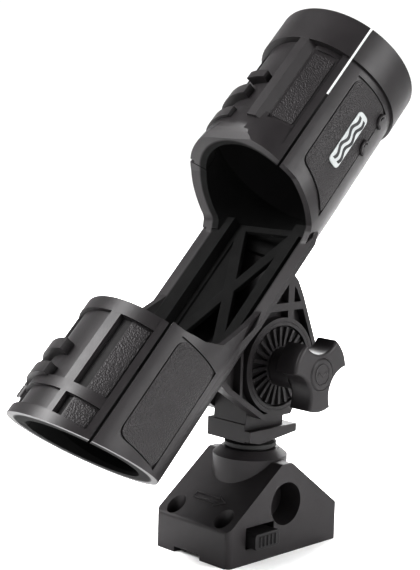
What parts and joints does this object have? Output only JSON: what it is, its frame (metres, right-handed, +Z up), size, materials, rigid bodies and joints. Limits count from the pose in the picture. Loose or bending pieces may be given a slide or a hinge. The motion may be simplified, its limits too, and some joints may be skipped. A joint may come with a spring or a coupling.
{
  "type": "fishing rod holder",
  "caption": "Tilting and swivelling fishing rod holder: an open-topped tube with hinged lids on a clevis bracket, post and wedge-shaped deck mount.",
  "frame": {"origin": "on the deck, at the foot of the post's vertical axis, on the mount's underside", "axes": "+Z up along the post; the tube lies in the XZ plane and its front end points towards +X and up; the clamping knob is on the -Y side"},
  "size_m": [0.2596, 0.0955, 0.301],
  "materials": {
    "base_nylon": "black glass-filled nylon, fine grain",
    "button_nylon": "black nylon",
    "post_nylon": "black nylon",
    "steel": "stainless",
    "seal_rubber": "black rubber",
    "body_nylon": "dark charcoal nylon, satin",
    "disc_nylon": "dark charcoal nylon",
    "knob_nylon": "dark charcoal nylon",
    "insert_brass": "brass",
    "panel_nylon": "pebbled charcoal nylon",
    "lid_nylon": "dark charcoal nylon, satin",
    "badge": "silver-white badge"
  },
  "bodies": {
    "mount": {"mount_base": "base_nylon"},
    "button": {"lock_button": "button_nylon"},
    "post": {"swivel_post": "post_nylon", "retaining_ring": "steel", "neck_seal": "seal_rubber"},
    "cradle": {"cradle_bracket": "body_nylon", "ratchet_disc_right": "disc_nylon", "ratchet_disc_left": "disc_nylon", "pivot_bolt": "steel", "pivot_washer_left": "steel", "pivot_washer_right": "steel", "cradle_shell": "body_nylon", "rear_panel_right": "panel_nylon", "rear_panel_left": "panel_nylon", "front_panel_right": "panel_nylon", "front_panel_left": "panel_nylon", "trough_floor": "body_nylon", "front_hinge_pin": "steel", "rear_hinge_pin": "steel", "badge_plate": "badge"},
    "front_lid": {"front_lid": "lid_nylon"},
    "rear_lid": {"rear_lid": "lid_nylon"},
    "knob": {"knob_body": "knob_nylon", "knob_insert": "insert_brass", "knob_cap": "knob_nylon"}
  },
  "joints": [
    {"name": "lock_press", "type": "slide", "parent": "mount", "child": "button", "axis": [0, 1, 0], "range_m": [0, 0.004], "stiffness_N_per_m": 400, "springref_m": -0.002},
    {"name": "swivel", "type": "hinge", "parent": "mount", "child": "post", "pos_m": [0, 0, 0.03], "axis": [0, 0, 1], "continuous": true},
    {"name": "tilt", "type": "hinge", "parent": "post", "child": "cradle", "pos_m": [0, 0, 0.1046], "axis": [0, -1, 0], "range_deg": [-45, 20]},
    {"name": "front_lid_open", "type": "hinge", "parent": "cradle", "child": "front_lid", "pos_m": [-0.06291, 0.03741, 0.16599], "axis": [-0.6984, 0, -0.7157], "range_deg": [0, 100]},
    {"name": "rear_lid_open", "type": "hinge", "parent": "cradle", "child": "rear_lid", "pos_m": [-0.06291, 0.03741, 0.16599], "axis": [-0.6984, 0, -0.7157], "range_deg": [0, 100]},
    {"name": "knob_turn", "type": "hinge", "parent": "cradle", "child": "knob", "pos_m": [0, 0, 0.1046], "axis": [0, -1, 0], "continuous": true}
  ]
}
